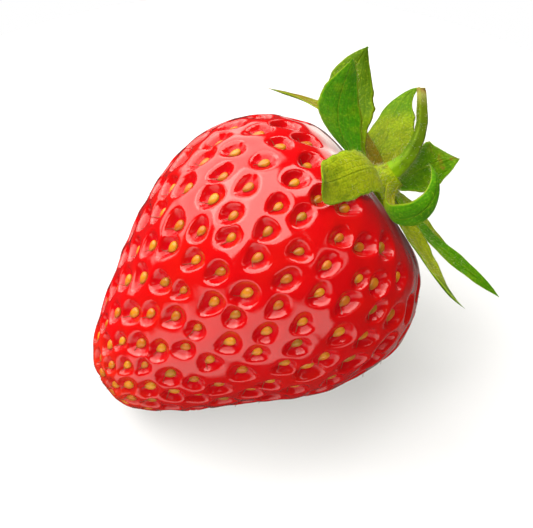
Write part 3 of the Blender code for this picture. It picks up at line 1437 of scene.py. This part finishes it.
# In each leaf the numbers follow the order of the fields, from around to point.
LEAVES: tuple[Leaf, ...] = (
    # Two broad leaves stand up side by side over the crown.
    Leaf(
        "leaf_front", "sepal_1",
        24, 21.0, 5.8, -7, 70, -45, -52, -70, -20, 25, 0.9, 0.38, 0.42, 1.7,
        LeafFinish(
            "leaf_front_green", face=(0.070, 0.33, 0.001), back=OLIVE, foot=(0.065, 0.24, 0.001),
            tip=(0.17, 0.46, 0.003),
        ),
    ),
    Leaf(
        "leaf_crown", "sepal_2",
        58, 16.6, 9.0, -6, 91, -15, -16, -60, -22, 30, 0.9, 0.32, 0.45, 1.7,
        # Its outer blade, from about a third of its length, is painted dark green: painted shade
        # where it stands behind leaf_front.
        LeafFinish(
            "leaf_crown_green", face=(0.19, 0.31, 0.002), back=OLIVE, foot=(0.28, 0.38, 0.002),
            tip=(0.045, 0.12, 0.001), tip_from=0.32,
        ),
    ),
    # A thin one reaches back over the far shoulder.
    Leaf(
        "leaf_thin", "sepal_3",
        79, 23.0, 4.2, 5, -51, 20, 22, -5, 38, 20, 2.3, 0.60, 0.50, 1.0,
        LeafFinish(
            "leaf_thin_olive", face=(0.18, 0.19, 0.002), back=(0.26, 0.20, 0.003),
            foot=(0.27, 0.17, 0.002), tip=(0.06, 0.14, 0.003), brown=0.7,
        ),
    ),
    # One stands behind the stem, and one spreads beside it.
    Leaf(
        "leaf_far", "sepal_4",
        109, 16.5, 7.5, 40, -14, 85, -4, 10, 77, -15, 1.1, 0.66, 0.40, 1.8,
        LeafFinish(
            "leaf_far_olive", face=VIVID, back=(0.23, 0.30, 0.001), foot=(0.40, 0.35, 0.001),
            tip=(0.06, 0.22, 0.001), tip_from=0.56,
        ),
    ),
    Leaf(
        "leaf_right", "sepal_5",
        150, 13.5, 7.0, 70, -45, 5, 15, 140, -115, 15, 1.4, 0.50, 0.40, 1.5,
        LeafFinish(
            "leaf_right_green", face=(0.105, 0.30, 0.001), back=(0.12, 0.31, 0.001),
            foot=(0.11, 0.26, 0.002), tip=(0.16, 0.26, 0.004), brown=0.8,
        ),
    ),
    # Three narrow ones hang towards the floor.
    Leaf(
        "leaf_small", "sepal_6",
        194, 11.5, 3.5, 0, 20, -10, 0, 30, -45, 20, 1.8, 0.60, 0.35, 1.6,
        LeafFinish(
            "leaf_small_pale", face=(0.28, 0.44, 0.01), back=PALE, foot=PALE,
            tip=(0.12, 0.28, 0.003),
        ),
    ),
    Leaf(
        "leaf_long", "sepal_7",
        -140, 19.5, 3.0, 0, 24, -15, -21, -25, -15, 25, 1.9, 0.70, 0.45, 2.2,
        LeafFinish(
            "leaf_long_green", face=(0.085, 0.30, 0.001), back=(0.085, 0.31, 0.001),
            foot=(0.18, 0.36, 0.003), tip=(0.10, 0.33, 0.001),
        ),
    ),
    Leaf(
        "leaf_low", "sepal_8",
        -118, 17.8, 5.0, -4, 5, 16, 30, 20, -25, 25, 1.0, 0.60, 0.35, 1.2,
        LeafFinish(
            "leaf_low_olive", face=(0.075, 0.20, 0.002), back=(0.32, 0.37, 0.003),
            foot=(0.34, 0.40, 0.006), tip=(0.05, 0.15, 0.001), tip_from=0.58,
        ),
    ),
    # One curls round on itself, and one lies over the near shoulder.
    Leaf(
        "leaf_curled", "sepal_9",
        -77, 16.4, 4.0, -44, 266, -38, -18, 5, 10, 35, 1.2, 0.85, 0.42, 1.5,
        # Its foot is pale and hairy, and is painted paler still: painted light where it lies in
        # shade by the hub.
        LeafFinish(
            "leaf_curled_green", face=(0.075, 0.29, 0.001), back=PALE, foot=(0.60, 0.60, 0.008),
            tip=(0.10, 0.24, 0.004),
        ),
    ),
    Leaf(
        "leaf_draped", "sepal_10",
        -26, 19.0, 6.0, 26, -112, 100, -5, 35, 0, -20, 1.0, 0.95, 0.50, 7.0,
        LeafFinish(
            "leaf_draped_pale", face=(0.10, 0.24, 0.002), back=(0.44, 0.52, 0.010),
            foot=(0.40, 0.52, 0.004), tip=(0.13, 0.22, 0.003),
        ),
        ragged=1.2,
    ),
)


@dataclass(frozen=True)
class Hub:
    """The fleshy collar round the foot of the stem, lobed towards each leaf."""

    rim: float = 4.5
    waist: float = 1.8
    height: float = 3.5
    floor: float = 0.05
    rings: int = 26
    around: int = 144
    lobe: float = 0.32
    lobe_width: float = 0.24
    # Its underside takes this share of the rings, and its lip is this thick.
    under: float = 0.15
    lip: float = 0.35
    sweep: float = 1.7
    rise_power: float = 1.3

    def level_at(self, climb: Array) -> Array:
        """How high its slope is.

        Args:
            climb: Shares of the way from the rim to the stem.

        Returns:
            The height at each share.
        """
        lip = self.lip * np.minimum(climb * 6, 1.0)
        return self.floor + lip + (self.height - self.lip) * climb**self.rise_power

    def build(self, skin: Skin) -> Shell:
        """Makes the collar.

        Args:
            skin: The fruit it sits on.

        Returns:
            The mesh, with how high up it each point is.
        """
        angles = np.linspace(0.0, 2 * math.pi, self.around, endpoint=False)
        lobes = np.zeros_like(angles)
        for leaf in LEAVES:
            turn = (angles - math.radians(leaf.around) + math.pi) % (2 * math.pi) - math.pi
            lobes = np.maximum(lobes, np.exp(-((turn / self.lobe_width) ** 2)))
        outward = skin.outward(angles)
        points, rises = [], []
        lumps = Waves(8, 2.2)
        for share in np.linspace(0.0, 1.0, self.rings):
            # Under the rim, round it, then up to the stem in a hollow sweep.
            if share < self.under:
                spread = share / self.under
                radius = self.rim * (0.2 + 0.8 * spread)
                level = self.floor
            else:
                climb = (share - self.under) / (1 - self.under)
                radius = self.waist + (self.rim - self.waist) * (1 - climb) ** self.sweep
                level = self.level_at(climb)
                spread = (1 - climb) ** 1.2
            reach = radius + self.lobe * spread * (lobes * 2 - 1)
            row = skin.hub + skin.out * level + outward * reach[:, None]
            row = row + outward * (0.10 * lumps.at(row))[:, None] * spread
            points.append(row)
            rises.append(np.full(self.around, level / self.height))
        rise = np.clip(np.concatenate(rises), 0, 1)
        return Shell(np.vstack(points), loft_faces(self.rings, self.around), {"rise": rise})


@dataclass(frozen=True)
class Stem:
    """The cut stem: a ribbed, tapering stalk with a flared foot and a torn end."""

    # (along the axis, towards the far side, towards the crown, radius)
    route: tuple[tuple[float, float, float, float], ...] = (
        (0.9, 0.2, 0.2, 3.10),
        (1.6, 0.2, 0.2, 2.30),
        (2.6, 0.2, 0.2, 1.62),
        (4.0, 0.3, 0.25, 1.24),
        (6.0, 0.5, 0.45, 1.02),
        (8.3, 1.3, 1.1, 0.82),
        (10.0, 2.4, 2.0, 0.74),
        (11.2, 3.6, 3.0, 0.68),
        (12.5, 5.1, 4.3, 0.60),
    )
    steps: int = 12
    around: int = 32
    ribs: int = 5
    rib: float = 0.07
    lump: float = 0.05
    torn: float = 0.28
    # The cut face: its rings' shares of the end's radius, and how far out they are.
    cut_radii: tuple[float, ...] = (0.88, 0.55, 0.2)
    cut_levels: tuple[float, ...] = (0.02, -0.10, -0.16)

    def path(self, skin: Skin) -> tuple[Array, Array]:
        """The stalk's centreline.

        Args:
            skin: The fruit it grows from.

        Returns:
            The line's points, and the stalk's radius at each.
        """
        table = smooth_through(np.array(self.route), self.steps)
        along, far, crown = table[:, 0:1], table[:, 1:2], table[:, 2:3]
        return skin.hub + along * skin.out + far * skin.side + crown * skin.crown, table[:, 3]

    def build(self, skin: Skin) -> Shell:
        """Makes the stalk.

        Args:
            skin: The fruit it grows from.

        Returns:
            The mesh, with how far along it is and where its ribs are.
        """
        centres, radii = self.path(skin)
        count = len(centres)
        share = np.linspace(0.0, 1.0, count)
        # The end folds in over its rim to a sunken brown face.
        tangent = unit(centres[-1] - centres[-2])
        levels = np.array(self.cut_levels)
        centres = np.vstack([centres, centres[-1] + levels[:, None] * tangent])
        radii = np.concatenate([radii, radii[-1] * np.array(self.cut_radii)])
        share = np.concatenate([share, np.ones(len(levels))])
        shell = tube(centres, radii, self.around, {"along": share})
        ring = shell.points.reshape(len(centres), self.around, 3)
        spoke = ring - centres[:, None]
        angles = np.linspace(0.0, 2 * math.pi, self.around, endpoint=False)
        ribs = np.cos(self.ribs * angles + 0.9 * np.sin(3.0 * share)[:, None])
        lumps = Waves(15, 2.6).at(shell.points).reshape(ribs.shape)
        ring = centres[:, None] + spoke * (1 + self.rib * ribs + self.lump * lumps)[:, :, None]
        # Fibres stand up unevenly round the cut.
        draw = np.random.default_rng(31)
        fibres = draw.uniform(-0.4, 1.0, self.around) * self.torn
        fibres += 0.25 * np.sin(angles + 2.2)
        near_end = smoothstep(count - 5, count - 1, np.arange(len(centres)))
        near_end[count:] = (0.8, 0.3, 0.1)
        ring = ring + tangent * (fibres * near_end[:, None])[:, :, None]
        shell.points = ring.reshape(-1, 3)
        shell.traits["ridge"] = np.clip(ribs, 0, 1).ravel()
        return shell


@dataclass(frozen=True)
class Hairs:
    """Fine hairs: thin bent cones set on another mesh."""

    seed: int
    length: float = 0.6
    radius: float = 0.022
    spread: float = 0.55
    bend: float = 0.25
    droop: float = 0.12

    def grow(self, roots: Array, headings: Array) -> Shell:
        """Makes one hair at each root.

        Args:
            roots: Where the hairs stand.
            headings: Which way each grows.

        Returns:
            One mesh of all the hairs.
        """
        draw = np.random.default_rng(self.seed)
        count = len(roots)
        headings = unit(headings + draw.normal(size=(count, 3)) * self.spread)
        bends = draw.normal(size=(count, 3)) * self.bend
        bends[:, 2] -= self.droop
        lengths = self.length * draw.uniform(0.5, 1.25, count)
        t = np.array([0.0, 0.5, 1.0])
        path = headings[:, None] * t[:, None] + bends[:, None] * t[:, None] ** 2
        middle = roots[:, None] + path * lengths[:, None, None]
        right = unit(np.cross(headings, [0.3, 0.5, 0.8]))
        up = np.cross(headings, right)
        angles = np.arange(3) * 2 * math.pi / 3
        ring = right[:, None] * np.cos(angles)[:, None] + up[:, None] * np.sin(angles)[:, None]
        radii = self.radius * np.array([1.0, 0.7, 0.15])
        points = middle[:, :, None] + ring[:, None] * radii[:, None, None]
        one = loft_faces(3, 3)
        offsets = (np.arange(count) * 9)[:, None, None]
        faces = [(f[None] + offsets).reshape(-1, f.shape[1]) for f in one]
        along = np.tile(np.repeat(t, 3), count)
        return Shell(points.reshape(-1, 3), faces, {"along": along})


@dataclass(frozen=True)
class Fuzz:
    """Where the hairs of the calyx and the stem stand, and how many."""

    seed: int = 41
    leaf_margin: int = 70
    leaf_face: int = 190
    stem: int = 420
    hub: int = 900
    # The hairs' lengths and radii.
    leaf_length: float = 0.42
    leaf_radius: float = 0.014
    stem_length: float = 0.55
    stem_radius: float = 0.016

    def on_leaves(self, skin: Skin) -> Shell:
        """The hairs on the margins and the stem sides of the leaves.

        Args:
            skin: The fruit that the leaves grow from.

        Returns:
            One mesh of all of them.
        """
        draw = np.random.default_rng(self.seed)
        roots, headings = [], []
        for leaf in LEAVES:
            rows = [row[1:] for row in leaf.spine(skin)]
            for _ in range(self.leaf_margin):
                pick = int(draw.integers(leaf.root_rows, len(rows) - 2))
                centre, normal, across, tangent, half = rows[pick]
                end = 1.0 if draw.uniform() < 0.5 else -1.0
                out, up = leaf.section(end)
                roots.append(centre + (across * out + normal * up) * half * 0.97)
                headings.append(across * end + tangent * 0.8)
            for _ in range(self.leaf_face):
                pick = int(draw.integers(2, int(len(rows) * 0.7)))
                centre, normal, across, tangent, half = rows[pick]
                out, up = leaf.section(draw.uniform(-0.9, 0.9))
                rise = normal * (half * up + leaf.thickness / 2)
                roots.append(centre + across * (half * out) + rise)
                headings.append(normal * 0.7 + tangent * 0.9)
        hairs = Hairs(self.seed + 1, self.leaf_length, self.leaf_radius)
        return hairs.grow(np.array(roots), np.array(headings))

    def on_stem(self, skin: Skin, stem: Stem, hub: Hub) -> Shell:
        """The hairs on the stalk and the collar.

        Args:
            skin: The fruit that they grow from.
            stem: The stalk.
            hub: The collar.

        Returns:
            One mesh of all of them.
        """
        draw = np.random.default_rng(self.seed + 2)
        centres, radii = stem.path(skin)
        pick = draw.integers(4, len(centres) - 3, self.stem)
        tangents = unit(np.gradient(centres, axis=0))[pick]
        spokes = draw.normal(size=(self.stem, 3))
        spokes = unit(spokes - tangents * (spokes * tangents).sum(axis=1, keepdims=True))
        roots = centres[pick] + spokes * radii[pick, None] * 0.96
        angles = draw.uniform(0, 2 * math.pi, self.hub)
        reach = draw.uniform(hub.waist + 0.1, hub.rim, self.hub)
        spread = (reach - hub.waist) / (hub.rim - hub.waist)
        climb = 1 - spread ** (1 / hub.sweep)
        level = hub.floor + hub.lip + (hub.height - hub.lip) * climb**hub.rise_power
        outward = skin.outward(angles)
        more = skin.hub + skin.out * level[:, None] + outward * reach[:, None]
        headings = np.vstack([spokes + tangents * 0.5, outward * 0.7 + skin.out])
        hairs = Hairs(self.seed + 3, self.stem_length, self.stem_radius)
        return hairs.grow(np.vstack([roots, more]), headings)


# --------------------------------------------------------------------------- studio


@dataclass(frozen=True)
class Panel:
    """A softbox far off: a bright rectangle in the surroundings."""

    azimuth_deg: float
    elevation_deg: float
    half_wide_deg: float
    half_high_deg: float
    strength: float
    roll_deg: float = 0.0
    edge: float = 0.05

    def axes(self) -> tuple[Vector, Vector, Vector]:
        """Which way it faces, and its own right and up."""
        a, e = math.radians(self.azimuth_deg), math.radians(self.elevation_deg)
        facing = Vector((math.cos(a) * math.cos(e), math.sin(a) * math.cos(e), math.sin(e)))
        right = Vector((-math.sin(a), math.cos(a), 0.0))
        turn = Matrix.Rotation(math.radians(self.roll_deg), 3, facing)
        right = turn @ right
        return facing, right, facing.cross(right)

    def add(self, graph: Graph, direction: bpy.types.NodeSocket) -> bpy.types.NodeSocket:
        """Adds the panel's light.

        Args:
            graph: The surroundings' nodes.
            direction: The direction looked in.

        Returns:
            The light it adds there.
        """
        facing, right, up = self.axes()
        parts = []
        for axis in (facing, right, up):
            dot = graph.node("ShaderNodeVectorMath", operation="DOT_PRODUCT")
            graph.feed(dot.inputs[0], direction)
            dot.inputs[1].default_value = axis
            parts.append(dot.outputs["Value"])
        ahead = graph.maths("MAXIMUM", parts[0], 1e-4)
        shares = []
        for part, half in zip(parts[1:], (self.half_wide_deg, self.half_high_deg)):
            reach = graph.maths("ABSOLUTE", graph.maths("DIVIDE", part, ahead))
            limit = math.tan(math.radians(half))
            shares.append(graph.remap(reach, limit + self.edge, limit - self.edge))
        inside = graph.maths("MULTIPLY", *shares)
        inside = graph.maths("MULTIPLY", inside, graph.remap(parts[0], 0.0, 0.02))
        return graph.maths("MULTIPLY", inside, self.strength)


@dataclass(frozen=True)
class Studio:
    """The light, the floor and the surroundings."""

    panels: tuple[Panel, ...] = (
        # The big box overhead, leaning to the left.
        Panel(165, 66, 36, 30, 3.25),
        # Behind to the left, and a bright one high up behind to the right.
        Panel(110, 30, 40, 28, 2.0, edge=0.12),
        Panel(25, 62, 11, 17, 4.0),
        # A narrow slanting one behind, which the rim of the upper shoulder reflects.
        Panel(44, -7, 8, 27, 1.2, roll_deg=25),
        # A dim one to the right, below the horizon.
        Panel(22, -50, 30, 11, 0.14, edge=0.10),
        # A weak one in front, and a low one that lights the underside.
        Panel(-75, 35, 24, 4, 1.3),
        Panel(-135, -24, 44, 22, 1.25, edge=0.15),
    )
    fill: float = 0.31
    fill_in_gloss: float = 0.05
    gain_in_gloss: float = 1.25
    warm: Colour = (1.0, 0.94, 0.86)
    backdrop: float = 1.0
    map_width: int = 1024
    floor_radius: float = 75.0
    floor_corners: int = 128

    def build(self) -> None:
        """Makes the surroundings and the floor."""
        world = bpy.data.worlds.new("studio")
        bpy.context.scene.world = world
        world.use_nodes = True
        graph = Graph(world.node_tree)
        background = world.node_tree.nodes["Background"]
        direction = graph.node("ShaderNodeTexCoord").outputs["Generated"]
        path = graph.node("ShaderNodeLightPath")
        # The dark studio round the lights is what a glossy surface reflects.
        glossy = path.outputs["Is Glossy Ray"]
        fill = graph.maths("MULTIPLY_ADD", glossy, self.fill_in_gloss - self.fill, self.fill)
        gain = graph.maths("MULTIPLY_ADD", glossy, self.gain_in_gloss - 1.0, 1.0)
        total = 0.0
        for panel in self.panels:
            total = graph.maths("ADD", panel.add(graph, direction), total)
        total = graph.maths("MULTIPLY_ADD", total, gain, fill)
        seen = path.outputs["Is Camera Ray"]
        strength = graph.node("ShaderNodeMix", data_type="FLOAT")
        graph.feed(strength.inputs["Factor"], seen)
        graph.feed(strength.inputs[2], total)
        graph.feed(strength.inputs[3], self.backdrop)
        graph.feed(background.inputs["Strength"], strength.outputs[0])
        colour = graph.mix(seen, self.warm, (1.0, 1.0, 1.0))
        graph.feed(background.inputs["Color"], colour)
        world.cycles.sampling_method = "MANUAL"
        world.cycles.sample_map_resolution = self.map_width

        turns = np.linspace(0.0, 2 * math.pi, self.floor_corners, endpoint=False)
        edge = np.stack([np.cos(turns), np.sin(turns), 0 * turns], axis=1) * self.floor_radius
        shell = Shell(edge, [np.arange(self.floor_corners)[None]])
        floor = shell.build("floor", FloorFinish().build())
        floor.visible_glossy = False


@dataclass(frozen=True)
class Camera:
    """Where the fruit is looked at from."""

    azimuth_deg: float = -23.0
    elevation_deg: float = 46.0
    distance: float = 350.0
    lens: float = 184.4
    sensor: float = 36.0
    # How far left of the hub and below it the view is centred.
    left: float = 13.53
    below: float = 9.49

    def build(self, skin: Skin) -> None:
        """Makes the camera and has the scene use it.

        Args:
            skin: The fruit that it looks at.
        """
        a, e = math.radians(self.azimuth_deg), math.radians(self.elevation_deg)
        right = Vector((math.cos(a), math.sin(a), 0.0))
        back = Vector((math.sin(a) * math.cos(e), -math.cos(a) * math.cos(e), math.sin(e)))
        up = back.cross(right)
        aim = Vector(skin.hub) - right * self.left - up * self.below
        data = bpy.data.cameras.new("camera")
        data.lens = self.lens
        data.sensor_width = self.sensor
        data.clip_start = 0.01
        camera = bpy.data.objects.new("camera", data)
        turn = Matrix((right, up, back)).transposed().to_4x4()
        camera.matrix_world = Matrix.Translation((aim + back * self.distance) * MM) @ turn
        bpy.context.scene.collection.objects.link(camera)
        bpy.context.scene.camera = camera


# ----------------------------------------------------------------------------- main


@dataclass
class Strawberry:
    """The whole object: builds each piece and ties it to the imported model."""

    flesh: Flesh = field(default_factory=Flesh)
    layout: AcheneLayout = field(default_factory=AcheneLayout)
    achene: AcheneForm = field(default_factory=AcheneForm)
    styles: Styles = field(default_factory=Styles)
    hub: Hub = field(default_factory=Hub)
    stem: Stem = field(default_factory=Stem)
    fuzz: Fuzz = field(default_factory=Fuzz)

    def add(
        self, name: str, shell: Shell, finish: Finish, slot: Slot, *stands_for: str
    ) -> None:
        """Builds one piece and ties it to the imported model.

        Args:
            name: The piece's name.
            shell: Its mesh.
            finish: Its finish.
            slot: The record's slot that it belongs to.
            stands_for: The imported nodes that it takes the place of.
        """
        obj = shell.build(name, finish.build())
        # Red isn't thrown onto the white sheet, nor green onto the wet skin.
        obj.visible_diffuse = slot is not Slot.FLESH
        obj.visible_glossy = slot is Slot.FLESH
        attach(obj, "root")
        if stands_for:
            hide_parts(*stands_for)
        LOG.info("%s: %d points", name, len(obj.data.vertices))

    def build(self) -> Skin:
        """Builds every piece.

        Returns:
            The fruit's skin, which the camera is set by.
        """
        skin = Skin(self.flesh.form)
        achenes = Achenes(skin, self.layout)
        pits = self.flesh.pits
        self.add("flesh", self.flesh.build(skin, achenes), FleshFinish(), Slot.FLESH, "fruit")
        self.add("achenes", self.achene.build(achenes, pits), AcheneFinish(), Slot.FLESH)
        self.add("styles", self.styles.build(achenes, pits), StyleFinish(), Slot.FLESH)
        self.add("hub", self.hub.build(skin), HubFinish(), Slot.CALYX, "calyx_disc")
        self.add("stalk", self.stem.build(skin), StalkFinish(), Slot.STEM, "stem")
        for leaf in LEAVES:
            self.add(leaf.name, leaf.build(skin), leaf.finish, Slot.LEAF, leaf.stands_for)
        self.add("leaf_hairs", self.fuzz.on_leaves(skin), HairFinish(), Slot.LEAF)
        hairs = self.fuzz.on_stem(skin, self.stem, self.hub)
        self.add("stalk_hairs", hairs, HairFinish("stalk_hair"), Slot.STEM)
        return skin


def main() -> None:
    """Builds the strawberry, the studio and the camera."""
    logging.basicConfig(level=logging.INFO, format="%(name)s %(message)s")
    skin = Strawberry().build()
    Studio().build()
    Camera().build(skin)
    bpy.context.scene.view_settings.view_transform = "Standard"
    bpy.context.view_layer.update()


if __name__ == "__main__":
    main()
